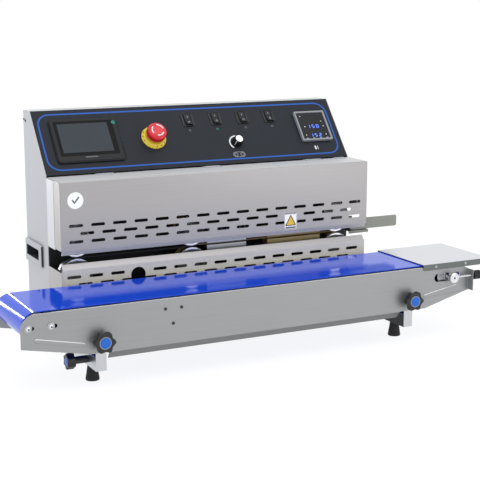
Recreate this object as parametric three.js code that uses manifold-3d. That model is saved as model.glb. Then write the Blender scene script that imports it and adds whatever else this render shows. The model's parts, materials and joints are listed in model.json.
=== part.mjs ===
// Continuous band sealer: a bench machine that carries bags on a belt conveyor while their mouths run
// through a slot between two guards, where heated bands seal them.
// Millimetres. +X runs along the conveyor towards the infeed tray, +Y away from the operator, +Z up.
// While it is drawn, x = 0 is the cabinet's left side, y = 0 the front face of the guards and z = 0 the
// floor. The last lines move the whole group so that its origin is the middle of its footprint.
import * as THREE from 'three';
import { mergeVertices } from 'three/addons/utils/BufferGeometryUtils.js';
import Module from 'manifold-3d';

const wasm = await Module();
wasm.setup();

// ---- driving dimensions -------------------------------------------------------------------------
const GAP = 0.3;                                    // left between pieces that touch
const SHEET = 1.5;                                  // stainless sheet

const CABINET = { width: 665, front: 78, back: 210, bottom: 56, top: 453.8 };
const PANEL = { foot: 339.5, headY: 170, thickness: 2 };
const PANEL_ANGLE = Math.atan2(CABINET.top - PANEL.foot, PANEL.headY - CABINET.front);
const PANEL_LENGTH = Math.hypot(CABINET.top - PANEL.foot, PANEL.headY - CABINET.front);

const UPPER = { top: 338, faceBottom: 209, lipY: 6, lipZ: 200, sideDepth: 35, sideBottomRight: 236 };
const LOWER = { bottom: 96, faceTop: 173, lipY: 8, lipZ: 182.6, sideTop: 168, width: 661 };
const CHEEK = { front: 37, bottomLeft: 206, bottomRight: 232, top: 336 };
const HINGE = { y: 73.5, z: 334.7, radius: 1.5 };
const SLOT = { length: 27.5, height: 6, pitch: 43.2 };

const SEAL_Z = 191;                                 // the plane the bag mouths run in
const WHEEL = { radius: 31, offset: 32.5, front: 18, back: 42, shaft: 5 };
const WHEEL_X = { outfeed: 36, middle: 272, infeed: 601 };
const BAND = { inner: 31.4, outer: 32.3 };

const CONVEYOR = {
  near: -177, far: -15, left: -134.2, right: 797, plateTop: 145.3, plateBottom: 62, kink: 64.5,
  beltNear: -171.5, beltFar: -20.5, beltOuter: 27.5, beltInner: 25.6,
  axleZ: 121, outfeedX: -104.2, tailX: 750, roller: 25.2,
};
const TRAY = { left: 685, right: 847, top: 150.7, thickness: 1.2, flange: 12 };
const TAKE_UP = {
  slotLeft: 713, slotRight: 775, slotHeight: 16, flange: 16, rodOffset: 10, rod: 2.5, rodLeft: 738,
  knob: 9, knobLength: 17.5,
};
const RAIL = { centres: [9, 653], width: 20, bottom: 28.5, top: 54, back: 200, upright: 120, wall: 2.4 };
const FOOT_Y = -128;
const LIFT = 25;                                     // how far the conveyor can be raised
const KNOB = { radius: 18.5, front: -200, back: -184, z: 85, stud: 4 };

const CONTROLS = {
  hmi: { x: 99.5, v: 73.5, width: 139, height: 100 },
  estop: { x: 238.5, v: 71 },
  switches: { x: [324.5, 386.5, 448.5, 510.5], v: 109.5 },
  speed: { x: 417, v: 49.5 },
  controller: { x: 604.5, v: 77, size: 72 },
};

// ---- materials ----------------------------------------------------------------------------------
const finish = (color, roughness, metalness) =>
  new THREE.MeshStandardMaterial({ color, roughness, metalness });
const brushedSteel = () => finish(0xc4c4c6, 0.35, 1);
const brightSteel = () => finish(0xe2e3e5, 0.25, 1);
const plateSteel = () => finish(0xa3a5a6, 0.45, 1);
const blackPaint = () => finish(0x17181a, 0.6, 0);
const rubber = () => finish(0x131314, 0.85, 0);
const blackPlastic = () => finish(0x1b1c1f, 0.45, 0);

// ---- solids -------------------------------------------------------------------------------------
// Turns a closed geometry into a solid that can be cut and joined, and back.
function solidOf(geometry) {
  const bare = geometry.clone();
  bare.deleteAttribute('normal');
  bare.deleteAttribute('uv');
  const merged = mergeVertices(bare, 1e-4);
  return new wasm.Manifold(new wasm.Mesh({
    numProp: 3,
    vertProperties: Float32Array.from(merged.attributes.position.array),
    triVerts: Uint32Array.from(merged.index.array),
  }));
}

function geometryOf(solid) {
  const mesh = solid.getMesh();
  const geometry = new THREE.BufferGeometry();
  geometry.setAttribute('position', new THREE.BufferAttribute(Float32Array.from(mesh.vertProperties), 3));
  geometry.setIndex(new THREE.BufferAttribute(Uint32Array.from(mesh.triVerts), 1));
  geometry.computeVertexNormals();
  return geometry;
}

const join = (first, ...rest) => geometryOf(rest.reduce((sum, g) => sum.add(solidOf(g)), solidOf(first)));
const cut = (first, ...tools) =>
  geometryOf(tools.reduce((sum, g) => sum.subtract(solidOf(g)), solidOf(first)));

// Extrusions named by the axis they run along. Outlines are (y, z), (x, z) and (x, y).
const RUN_X = new THREE.Matrix4().makeBasis(
  new THREE.Vector3(0, 1, 0), new THREE.Vector3(0, 0, 1), new THREE.Vector3(1, 0, 0));
const RUN_Y = new THREE.Matrix4().makeBasis(
  new THREE.Vector3(1, 0, 0), new THREE.Vector3(0, 0, 1), new THREE.Vector3(0, -1, 0));

function extrude(outline, depth, curveSegments) {
  return new THREE.ExtrudeGeometry(outline, { depth, bevelEnabled: false, curveSegments });
}
function prismX(outline, x0, x1, curveSegments = 8) {
  return extrude(outline, x1 - x0, curveSegments).applyMatrix4(RUN_X).translate(x0, 0, 0);
}
function prismY(outline, y0, y1, curveSegments = 8) {
  return extrude(outline, y1 - y0, curveSegments).applyMatrix4(RUN_Y).translate(0, y1, 0);
}
function prismZ(outline, z0, z1, curveSegments = 8) {
  return extrude(outline, z1 - z0, curveSegments).translate(0, 0, z0);
}

function box(x0, x1, y0, y1, z0, z1) {
  return new THREE.BoxGeometry(x1 - x0, y1 - y0, z1 - z0)
    .translate((x0 + x1) / 2, (y0 + y1) / 2, (z0 + z1) / 2);
}
function rodX(radius, x0, x1, y, z, segments = 20) {
  return new THREE.CylinderGeometry(radius, radius, x1 - x0, segments)
    .rotateZ(Math.PI / 2).translate((x0 + x1) / 2, y, z);
}
function rodY(radius, y0, y1, x, z, segments = 20) {
  return new THREE.CylinderGeometry(radius, radius, y1 - y0, segments).translate(x, (y0 + y1) / 2, z);
}
function rodZ(radius, z0, z1, x, y, segments = 20) {
  return new THREE.CylinderGeometry(radius, radius, z1 - z0, segments)
    .rotateX(Math.PI / 2).translate(x, y, (z0 + z1) / 2);
}

// A turned piece about +Z: profile points are (radius, z), from the axis and back to it.
function turned(profile, segments = 24) {
  const points = profile.map(([radius, z]) => new THREE.Vector2(radius, z));
  return new THREE.LatheGeometry(points, segments).rotateX(Math.PI / 2);
}
// The same about +Y: profile points are (radius, y).
function turnedY(profile, segments = 24) {
  return turned(profile.map(([radius, y]) => [radius, -y]).reverse(), segments).rotateX(Math.PI / 2);
}

const outlineOf = (points) => new THREE.Shape(points.map(([a, b]) => new THREE.Vector2(a, b)));

// A bent sheet seen end on: its outer face follows the path, its thickness lies to the path's left.
function bentSheet(path, thickness) {
  const points = path.map(([a, b]) => new THREE.Vector2(a, b));
  const normals = points.slice(1).map((point, i) => {
    const along = point.clone().sub(points[i]).normalize();
    return new THREE.Vector2(-along.y, along.x);
  });
  const inner = points.map((point, i) => {
    const before = normals[Math.max(i - 1, 0)];
    const after = normals[Math.min(i, normals.length - 1)];
    const mitre = before.clone().add(after).normalize();
    return point.clone().addScaledVector(mitre, thickness / mitre.dot(after));
  });
  return new THREE.Shape([...points, ...inner.reverse()]);
}

function slotOutline(a, b, length, height) {
  const reach = (length - height) / 2;
  const outline = new THREE.Shape();
  outline.absarc(a + reach, b, height / 2, -Math.PI / 2, Math.PI / 2);
  outline.absarc(a - reach, b, height / 2, Math.PI / 2, Math.PI * 1.5);
  outline.closePath();
  return outline;
}

function roundedRectangle(a, b, width, height, radius) {
  const [x0, x1, y0, y1] = [a - width / 2, a + width / 2, b - height / 2, b + height / 2];
  const outline = new THREE.Shape();
  outline.absarc(x1 - radius, y0 + radius, radius, -Math.PI / 2, 0);
  outline.absarc(x1 - radius, y1 - radius, radius, 0, Math.PI / 2);
  outline.absarc(x0 + radius, y1 - radius, radius, Math.PI / 2, Math.PI);
  outline.absarc(x0 + radius, y0 + radius, radius, Math.PI, Math.PI * 1.5);
  outline.closePath();
  return outline;
}

// An endless belt over two equal wheels whose centres are (x0, z) and (x1, z).
function beltLoop(x0, x1, z, outer, inner, y0, y1, curveSegments) {
  const loop = (Path, radius) => {
    const path = new Path();
    path.absarc(x1, z, radius, -Math.PI / 2, Math.PI / 2);
    path.absarc(x0, z, radius, Math.PI / 2, Math.PI * 1.5);
    path.closePath();
    return path;
  };
  const outline = loop(THREE.Shape, outer);
  outline.holes.push(loop(THREE.Path, inner));
  return prismY(outline, y0, y1, curveSegments);
}

// Rows of ventilation slots through a sheet that faces the operator.
function slotRow(first, count, z, skip = -1) {
  const tools = [];
  for (let k = 0; k < count; k += 1) {
    if (k === skip) continue;
    tools.push(prismY(slotOutline(first + k * SLOT.pitch, z, SLOT.length, SLOT.height), -1, SHEET + 1, 3));
  }
  return tools;
}

// ---- assembly -----------------------------------------------------------------------------------
const machine = new THREE.Group();

function add(name, geometry, material, parent = machine) {
  const mesh = new THREE.Mesh(geometry, material);
  mesh.name = name;
  parent.add(mesh);
  return mesh;
}

// ---- cabinet ------------------------------------------------------------------------------------
// A folded sheet box: two side panels with a sloping front edge, a floor, a wall that carries the
// sealing mechanism, and a back panel whose top folds forward over the controls.
const HANDLE = { y: 158, z: 179.3, width: 100, height: 45, pocketY: 162, pocketWidth: 76, pocketHeight: 20 };
const POCKET_WALL = 2;

function sidePanel(x0) {
  const outline = outlineOf([
    [CABINET.front, CABINET.bottom], [CABINET.back, CABINET.bottom], [CABINET.back, CABINET.top],
    [PANEL.headY, CABINET.top], [CABINET.front, PANEL.foot],
  ]);
  const reachY = HANDLE.pocketWidth / 2 + POCKET_WALL + GAP;
  const reachZ = HANDLE.pocketHeight / 2 + POCKET_WALL + GAP;
  return cut(prismX(outline, x0, x0 + SHEET),
    box(x0 - 1, x0 + SHEET + 1, HANDLE.pocketY - reachY, HANDLE.pocketY + reachY,
      HANDLE.z - reachZ, HANDLE.z + reachZ));
}
const INNER = { left: SHEET + GAP, right: CABINET.width - SHEET - GAP };

add('base_plate',
  box(INNER.left, INNER.right, CABINET.front, CABINET.back, CABINET.bottom, CABINET.bottom + 2),
  plateSteel());
add('side_panel_left', sidePanel(0), brightSteel());
add('side_panel_right', sidePanel(CABINET.width - SHEET), brightSteel());

const backOutline = bentSheet([
  [CABINET.back, CABINET.bottom + 2 + GAP], [CABINET.back, CABINET.top], [PANEL.headY + 2, CABINET.top],
], SHEET);
const VENT = { centres: [150, 515], halfLength: 45, first: 250, pitch: 14, height: 4, rows: 6 };
const backVents = VENT.centres.flatMap((x) => Array.from({ length: VENT.rows }, (_, k) => {
  const z = VENT.first + k * VENT.pitch;
  return box(x - VENT.halfLength, x + VENT.halfLength, CABINET.back - 3, CABINET.back + 1,
    z, z + VENT.height);
}));
const INLET = { x: 590, z: 96, width: 50, height: 28, socketWidth: 24, socketHeight: 16, socketDepth: 14 };
add('back_panel', cut(prismX(backOutline, INNER.left, INNER.right), ...backVents,
  box(INLET.x - 15, INLET.x + 15, CABINET.back - 3, CABINET.back + 1, INLET.z - 11, INLET.z + 11)),
brushedSteel());
add('power_inlet', cut(
  join(prismY(roundedRectangle(INLET.x, INLET.z, INLET.width, INLET.height, 4),
    CABINET.back + GAP, CABINET.back + 3, 4),
  box(INLET.x - 14, INLET.x + 14, CABINET.back - 17, CABINET.back + 1, INLET.z - 10, INLET.z + 10)),
  box(INLET.x - INLET.socketWidth / 2, INLET.x + INLET.socketWidth / 2,
    CABINET.back + 3 - INLET.socketDepth, CABINET.back + 4,
    INLET.z - INLET.socketHeight / 2, INLET.z + INLET.socketHeight / 2)), blackPlastic());

add('mounting_wall',
  box(INNER.left, INNER.right, CABINET.front, CABINET.front + 2, CABINET.bottom + 2 + GAP, UPPER.top - 1),
  blackPaint());

// Pocket handles: a frame that stands proud of each side, and a pocket for the fingers.
function pocketHandle(side) {
  const frame = prismX(roundedRectangle(HANDLE.y, HANDLE.z, HANDLE.width, HANDLE.height, 3), -5, -GAP, 4);
  const shell = box(-2, 22, HANDLE.pocketY - HANDLE.pocketWidth / 2 - POCKET_WALL,
    HANDLE.pocketY + HANDLE.pocketWidth / 2 + POCKET_WALL,
    HANDLE.z - HANDLE.pocketHeight / 2 - POCKET_WALL, HANDLE.z + HANDLE.pocketHeight / 2 + POCKET_WALL);
  const pocket = box(-6, 20, HANDLE.pocketY - HANDLE.pocketWidth / 2, HANDLE.pocketY + HANDLE.pocketWidth / 2,
    HANDLE.z - HANDLE.pocketHeight / 2, HANDLE.z + HANDLE.pocketHeight / 2);
  const handle = cut(join(frame, shell), pocket);
  return side === 'left' ? handle
    : geometryOf(solidOf(handle).mirror([1, 0, 0])).translate(CABINET.width, 0, 0);
}
add('handle_left', pocketHandle('left'), finish(0xd9dadc, 0.4, 0.2));
add('handle_right', pocketHandle('right'), finish(0xd9dadc, 0.4, 0.2));

const rearFoot = [
  [0, 0], [14, 0], [14, 6], [10, 18], [5, 18], [5, CABINET.bottom - GAP], [0, CABINET.bottom - GAP],
];
[['rear_foot_left', 45], ['rear_foot_right', 620]].forEach(([name, x]) => {
  add(name, turned(rearFoot, 20), rubber()).position.set(x, 182, 0);
});

// ---- guards -------------------------------------------------------------------------------------
// The upper guard lifts on a rod behind its top edge. Its fixed frame closes the ends behind it.
const upperPath = [
  [HINGE.y - HINGE.radius, UPPER.top], [0, UPPER.top], [0, UPPER.faceBottom], [UPPER.lipY, UPPER.lipZ],
];
const upperRows = [...slotRow(29.9, 15, 255.1), ...slotRow(51.5, 14, 240.1), ...slotRow(29.9, 15, 225)];
add('upper_guard', cut(
  join(prismX(bentSheet(upperPath, SHEET), 0, CABINET.width),
    box(0, SHEET, 0, UPPER.sideDepth, UPPER.faceBottom, UPPER.top),
    box(CABINET.width - SHEET, CABINET.width, 0, UPPER.sideDepth, UPPER.sideBottomRight, UPPER.top)),
  ...upperRows), brushedSteel());
add('guard_frame', join(
  box(0, SHEET, CHEEK.front, CABINET.front - GAP, CHEEK.bottomLeft, CHEEK.top),
  box(CABINET.width - SHEET, CABINET.width, CHEEK.front, CABINET.front - GAP, CHEEK.bottomRight, CHEEK.top),
  box(0, CABINET.width, CABINET.front - GAP - SHEET, CABINET.front - GAP, 262, HINGE.z - 4.2)),
brightSteel());
add('guard_hinge', rodX(HINGE.radius, SHEET + GAP, CABINET.width - SHEET - GAP, HINGE.y, HINGE.z, 12),
  brightSteel());

const lowerPath = [
  [CABINET.front - GAP, LOWER.bottom], [0, LOWER.bottom], [0, LOWER.faceTop], [LOWER.lipY, LOWER.lipZ],
];
const lowerRows = [...slotRow(24.1, 15, 158.6, 3), ...slotRow(45.7, 14, 143.6)];
add('lower_guard', cut(
  join(prismX(bentSheet(lowerPath, -SHEET), 0, LOWER.width),
    box(0, SHEET, 0, CABINET.front - GAP, LOWER.bottom, LOWER.sideTop),
    box(LOWER.width - SHEET, LOWER.width, 0, CABINET.front - GAP, LOWER.bottom, LOWER.sideTop)),
  ...lowerRows, rodY(15, -1, SHEET + 1, 152, 151)), brushedSteel());

// ---- controls -----------------------------------------------------------------------------------
// A group on the sloping face: local x along it, y up the slope and z out of it.
const face = new THREE.Group();
face.position.set(0, CABINET.front, PANEL.foot);
face.rotation.x = PANEL_ANGLE;
machine.add(face);

const { hmi, estop, switches, speed, controller } = CONTROLS;
const BEZEL = 5;
const INSET = 4;                                    // how far a bezel laps over its cut-out
const SWITCH = { width: 16, height: 31, holeWidth: 13.4, holeHeight: 27.8, depth: 16 };
const ESTOP = { collar: 28.5, stem: 11, head: 20.5, headBase: 14, headTop: 32 };
const SPEED = { radius: 11, top: 15.5, shaft: 3 };

function around(centre, width, height, z0, z1) {
  return box(centre.x - width / 2, centre.x + width / 2, centre.v - height / 2, centre.v + height / 2,
    z0, z1);
}
const switchCentres = switches.x.map((x) => ({ x, v: switches.v }));

add('control_panel', cut(
  box(INNER.left, INNER.right, GAP, PANEL_LENGTH, -PANEL.thickness, 0),
  around(hmi, hmi.width - 2 * INSET + 1, hmi.height - 2 * INSET + 1, -4, 1),
  around(controller, controller.size - 4, controller.size - 4, -4, 1),
  ...switchCentres.map((centre) => around(centre, 15.4, 29.8, -4, 1)),
  rodZ(ESTOP.stem + 1.5, -4, 1, estop.x, estop.v),
  rodZ(SPEED.shaft + 1, -4, 1, speed.x, speed.v, 12)), blackPaint(), face);

function panelUnit(centre, width, height, neck, depth) {
  return join(
    prismZ(roundedRectangle(centre.x, centre.v, width, height, 3), GAP, BEZEL, 3),
    around(centre, width - neck, height - neck, -depth, 1));
}
add('hmi_unit', panelUnit(hmi, hmi.width, hmi.height, 2 * INSET, 30), blackPlastic(), face);
add('temp_controller', panelUnit(controller, controller.size, controller.size, 5, 50),
  finish(0x4b4e54, 0.4, 0), face);

const collar = turned([
  [ESTOP.stem + 1, GAP], [ESTOP.collar, GAP], [ESTOP.collar, 3], [ESTOP.collar - 6, 8],
  [ESTOP.stem + 1, 8], [ESTOP.stem + 1, GAP],
]);
add('estop_collar', collar, finish(0xe0c43c, 0.4, 0), face).position.set(estop.x, estop.v, 0);
add('estop_plunger', turned([
  [0, -22], [ESTOP.stem, -22], [ESTOP.stem, ESTOP.headBase - GAP], [0, ESTOP.headBase - GAP],
]), blackPlastic(), face).position.set(estop.x, estop.v, 0);
add('estop_head', turned([
  [0, ESTOP.headBase], [ESTOP.head - 2, ESTOP.headBase], [ESTOP.head, ESTOP.headBase + 3],
  [ESTOP.head, ESTOP.headTop - 8], [ESTOP.head - 2.5, ESTOP.headTop - 3],
  [ESTOP.head - 8, ESTOP.headTop - 0.6],
  [0, ESTOP.headTop],
], 28), finish(0xd02a38, 0.3, 0), face).position.set(estop.x, estop.v, 0);

// Four rocker switches in one moulded bank: a bezel and a well for each rocker.
const bankMiddle = { x: (switches.x[0] + switches.x[3]) / 2, v: switches.v };
add('switch_bank', cut(
  join(around(bankMiddle, switches.x[3] - switches.x[0] + 14, 28, -SWITCH.depth - 2, -SWITCH.depth),
    ...switchCentres.flatMap((centre) => [
      around(centre, SWITCH.width, SWITCH.height, GAP, 2),
      around(centre, 14.8, 29.2, -SWITCH.depth - 1, 1),
    ])),
  ...switchCentres.map((centre) =>
    around(centre, SWITCH.holeWidth, SWITCH.holeHeight, -SWITCH.depth + 1, 3))),
blackPlastic(), face);

const ROCKER_TILT = THREE.MathUtils.degToRad(8);
const rockerOutline = outlineOf([[-13, -5], [13, -5], [13, 1.6], [0, -0.2], [-13, 1.6]]);
switchCentres.forEach((centre, i) => {
  const rocker = add(`rocker_${i + 1}`, prismX(rockerOutline, -6.3, 6.3), finish(0x202225, 0.3, 0), face);
  rocker.position.set(centre.x, centre.v, 1.4);
  rocker.rotation.x = -ROCKER_TILT;
});

add('speed_knob', turned([
  [0, -10], [SPEED.shaft, -10], [SPEED.shaft, 1], [SPEED.radius, 1], [SPEED.radius, 3],
  [SPEED.radius - 1.5, SPEED.top - 1], [SPEED.radius - 2.5, SPEED.top], [0, SPEED.top],
]), blackPlastic(), face).position.set(speed.x, speed.v, 0);

// ---- sealing mechanism --------------------------------------------------------------------------
// Upper and lower wheels carry a guide belt on the outfeed half and a sealing band on the infeed half.
const LEVELS = { upper: 1, lower: -1 };
const wheelProfile = [
  [0, 17], [7, 17], [7, 20], [26, 20], [27, WHEEL.front], [WHEEL.radius, WHEEL.front],
  [WHEEL.radius, WHEEL.back], [WHEEL.shaft, WHEEL.back], [WHEEL.shaft, CABINET.front - GAP],
  [0, CABINET.front - GAP],
];
const BLOCK = { near: 0.6 + (WHEEL.offset - BAND.inner), front: 24, back: 46 };
const HEATER = { left: 443, right: 566, height: 24, arms: [473, 540] };
const COOLER = {
  left: 308, right: 395, base: 13, height: 30, fins: 9, finPitch: 10, fin: 3, armLeft: 340, armRight: 364,
};

Object.entries(LEVELS).forEach(([level, side]) => {
  const wheelZ = SEAL_Z + side * WHEEL.offset;
  Object.entries(WHEEL_X).forEach(([place, x]) => {
    add(`wheel_${place}_${level}`, turnedY(wheelProfile, 20), brightSteel()).position.set(x, 0, wheelZ);
  });
  add(`guide_belt_${level}`, beltLoop(WHEEL_X.outfeed, WHEEL_X.middle, wheelZ, BAND.outer, BAND.inner,
    19, 29, 12), rubber());
  add(`seal_band_${level}`, beltLoop(WHEEL_X.middle, WHEEL_X.infeed, wheelZ, BAND.outer, BAND.inner,
    31, 41, 12), finish(0xa08a5c, 0.6, 0));

  // The blocks press on the band's inner run. An arm holds each on the wall.
  const span = (from, to) => (side > 0 ? [SEAL_Z + from, SEAL_Z + to] : [SEAL_Z - to, SEAL_Z - from]);
  const arm = (x) => box(x - 12, x + 12, BLOCK.back - 1, CABINET.front - GAP, ...span(8, 20));
  add(`heater_${level}`, join(
    box(HEATER.left, HEATER.right, BLOCK.front, BLOCK.back, ...span(BLOCK.near, HEATER.height)),
    ...HEATER.arms.map(arm)), finish(0xb58b3c, 0.35, 1));
  const fins = Array.from({ length: COOLER.fins }, (_, k) => {
    const x = COOLER.left + 2 + k * COOLER.finPitch;
    return box(x, x + COOLER.fin, BLOCK.front, BLOCK.back, ...span(COOLER.base - 1, COOLER.height));
  });
  add(`cooler_${level}`, join(
    box(COOLER.left, COOLER.right, BLOCK.front, BLOCK.back, ...span(BLOCK.near, COOLER.base)), ...fins,
    box(COOLER.armLeft, COOLER.armRight, BLOCK.back - 1, CABINET.front - GAP, ...span(4, 12))),
  finish(0xb9bcc0, 0.4, 1));
});

const MOTOR = {
  gearLeft: 30, gearRight: 90, right: 190, y: 122, z: 220, gearHalfY: 28, gearHalfZ: 30, radius: 24,
};
add('drive_motor', join(
  box(MOTOR.gearLeft, MOTOR.gearRight, MOTOR.y - MOTOR.gearHalfY, MOTOR.y + MOTOR.gearHalfY,
    MOTOR.z - MOTOR.gearHalfZ, MOTOR.z + MOTOR.gearHalfZ),
  rodX(MOTOR.radius, MOTOR.gearRight - 2, MOTOR.right, MOTOR.y, MOTOR.z)), finish(0x3a3d42, 0.5, 0.6));

// Two folded plates that lead the bag mouth in level with the bands.
const GUIDE = {
  left: 636, right: 752, front: 18.5, back: 50, top: 216, upper: SEAL_Z + 1.4, lower: SEAL_Z - 1.4,
};
const guideFace = roundedRectangle((GUIDE.left + GUIDE.right) / 2, (GUIDE.upper + GUIDE.top) / 2,
  GUIDE.right - GUIDE.left, GUIDE.top - GUIDE.upper, 4);
add('inlet_guide', join(
  prismY(guideFace, GUIDE.front, GUIDE.front + SHEET, 4),
  box(GUIDE.left + 4, GUIDE.right - 4, GUIDE.front + 0.5, GUIDE.back, GUIDE.upper, GUIDE.upper + SHEET),
  box(GUIDE.left, 684, GUIDE.front + 4, GUIDE.back, GUIDE.lower - SHEET, GUIDE.lower),
  box(GUIDE.left, 684, GUIDE.front + 4, GUIDE.front + 4 + SHEET, GUIDE.lower - 6, GUIDE.lower),
  box(640, 660, GUIDE.back - SHEET, GUIDE.back, GUIDE.lower - 4, GUIDE.top),
  box(642, 658, GUIDE.back - 0.5, CABINET.front - GAP, GUIDE.top - 14, GUIDE.top - 2)), plateSteel());

// ---- conveyor -----------------------------------------------------------------------------------
// Side plates taper up at both ends. Between the rails their lower edge folds in. The fold on top
// follows the belt, and the flange at the right carries the belt's tension screw.
const FOLD = { in: 9, down: 16, left: 24, right: 632 };
const TAPER = { leftX: -8.5, leftZ: 86, rightX: 692, rightZ: 89.8, cornerRadius: 27 };
const STEP = { left: 683, right: 690, z: 138.4, endZ: 133, endRun: 12 };   // the top dips under the tray
const HEM = { left: -78, right: 678, depth: 3.7 };
const ROLLER_SLOT = { length: 17, height: 7, centres: [-118.2, -77.6] };
const RIBS = [[-109.6, 98.5, -20, 80], [688, 86.5, 768, 100.6]];     // x and z of each pressed rib's ends
const RIB = { width: 6.5, proud: 1.6, root: 0.5 };

function sidePlate() {
  const { left, right, plateTop, plateBottom, axleZ } = CONVEYOR;
  const r = TAPER.cornerRadius;
  const outline = new THREE.Shape();
  outline.moveTo(left, TAPER.leftZ);
  outline.lineTo(TAPER.leftX, plateBottom);
  outline.lineTo(TAPER.rightX, plateBottom);
  outline.lineTo(right, TAPER.rightZ);
  outline.lineTo(right, STEP.endZ);
  outline.lineTo(right - STEP.endRun, STEP.z);
  outline.lineTo(STEP.right, STEP.z);
  outline.lineTo(STEP.left, plateTop);
  outline.lineTo(left + r, plateTop);
  outline.absarc(left + r, plateTop - r, r, Math.PI / 2, Math.PI);
  outline.closePath();
  const near = CONVEYOR.near;
  const inner = near + SHEET;
  const fold = bentSheet([[near, CONVEYOR.kink], [near, CONVEYOR.kink - 3],
    [near + FOLD.in, CONVEYOR.kink - FOLD.down]], SHEET);
  const rib = ([x0, z0, x1, z1]) => {
    const length = Math.hypot(x1 - x0, z1 - z0);
    return extrude(slotOutline(0, 0, length, RIB.width), RIB.proud + RIB.root, 4).rotateX(Math.PI / 2)
      .rotateY(-Math.atan2(z1 - z0, x1 - x0)).translate((x0 + x1) / 2, near + RIB.root, (z0 + z1) / 2);
  };
  const flange = box(right - SHEET, right, near - TAKE_UP.flange, inner, TAPER.rightZ + 0.5, STEP.endZ);
  const holes = [
    ...ROLLER_SLOT.centres.map((x) => prismY(
      slotOutline(x, axleZ, ROLLER_SLOT.length, ROLLER_SLOT.height), near - 1, inner + 1, 4)),
    prismY(slotOutline((TAKE_UP.slotLeft + TAKE_UP.slotRight) / 2, axleZ,
      TAKE_UP.slotRight - TAKE_UP.slotLeft, TAKE_UP.slotHeight), near - 1, inner + 1, 6),
    rodX(TAKE_UP.rod + 0.5, right - 3, right + 1, near - TAKE_UP.rodOffset, axleZ, 12),
    ...RAIL.centres.map((x) => rodY(KNOB.stud + 0.6, near - 1, inner + 1, x, KNOB.z, 12)),
  ];
  return cut(join(prismY(outline, near, inner, 6), prismX(fold, FOLD.left, FOLD.right),
    box(HEM.left, HEM.right, near, near + HEM.depth, plateTop - SHEET, plateTop), flange,
    ...RIBS.map(rib)), ...holes);
}
add('conveyor_plate_near', sidePlate(), plateSteel());
const farPlate = geometryOf(solidOf(sidePlate()).mirror([0, 1, 0]));
farPlate.translate(0, CONVEYOR.near + CONVEYOR.far, 0);
add('conveyor_plate_far', farPlate, plateSteel());

const BED = { left: -90, right: 712, top: 146.3, thickness: 1.8, margin: 1.5 };
add('bed_plate', box(BED.left, BED.right, CONVEYOR.beltNear - BED.margin, CONVEYOR.beltFar + BED.margin,
  BED.top - BED.thickness, BED.top), brushedSteel());
add('conveyor_belt', beltLoop(CONVEYOR.outfeedX, CONVEYOR.tailX, CONVEYOR.axleZ, CONVEYOR.beltOuter,
  CONVEYOR.beltInner, CONVEYOR.beltNear, CONVEYOR.beltFar, 16), finish(0x1e46cd, 0.25, 0));

const rollerEnds = { near: CONVEYOR.near + SHEET + 0.5, far: CONVEYOR.far - SHEET - 0.5 };
const rollerY = { near: CONVEYOR.beltNear + 1, far: CONVEYOR.beltFar - 1 };
add('outfeed_roller', turnedY([
  [0, rollerEnds.near], [4, rollerEnds.near], [4, rollerY.near], [CONVEYOR.roller, rollerY.near],
  [CONVEYOR.roller, rollerY.far], [4, rollerY.far], [4, rollerEnds.far], [0, rollerEnds.far],
]), plateSteel()).position.set(CONVEYOR.outfeedX, 0, CONVEYOR.axleZ);

// The tail roller turns on an axle whose ends slide in the plates, drawn along by two screws.
const TAIL = { axle: 6, bore: 6.6, nut: 7.5, reach: 17 };
const axleNear = CONVEYOR.near - TAIL.reach;
const axleFar = CONVEYOR.far + TAIL.reach;
const screwY = { near: CONVEYOR.near - TAKE_UP.rodOffset, far: CONVEYOR.far + TAKE_UP.rodOffset };
const nut = (y0, y1) => rodY(TAIL.nut, y0, y1, CONVEYOR.tailX, CONVEYOR.axleZ);
add('tail_axle', cut(
  join(rodY(TAIL.axle, axleNear + 3, axleFar - 3, CONVEYOR.tailX, CONVEYOR.axleZ),
    nut(axleNear, CONVEYOR.near - 1), nut(CONVEYOR.far + 1, axleFar)),
  rodX(TAKE_UP.rod + 0.4, CONVEYOR.tailX - 12, CONVEYOR.tailX + 12, screwY.near, CONVEYOR.axleZ, 12),
  rodX(TAKE_UP.rod + 0.4, CONVEYOR.tailX - 12, CONVEYOR.tailX + 12, screwY.far, CONVEYOR.axleZ, 12)),
brightSteel());
add('tail_roller', turnedY([
  [TAIL.bore, rollerY.near], [CONVEYOR.roller, rollerY.near], [CONVEYOR.roller, rollerY.far],
  [TAIL.bore, rollerY.far], [TAIL.bore, rollerY.near],
]), plateSteel()).position.set(CONVEYOR.tailX, 0, CONVEYOR.axleZ);
Object.entries(screwY).forEach(([side, y]) => {
  add(`takeup_screw_${side}`, join(
    rodX(TAKE_UP.rod, TAKE_UP.rodLeft, CONVEYOR.right + 4, y, CONVEYOR.axleZ, 12),
    rodX(TAKE_UP.knob, CONVEYOR.right + 1.5, CONVEYOR.right + 1.5 + TAKE_UP.knobLength, y,
      CONVEYOR.axleZ, 24)), blackPlastic());
});

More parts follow.
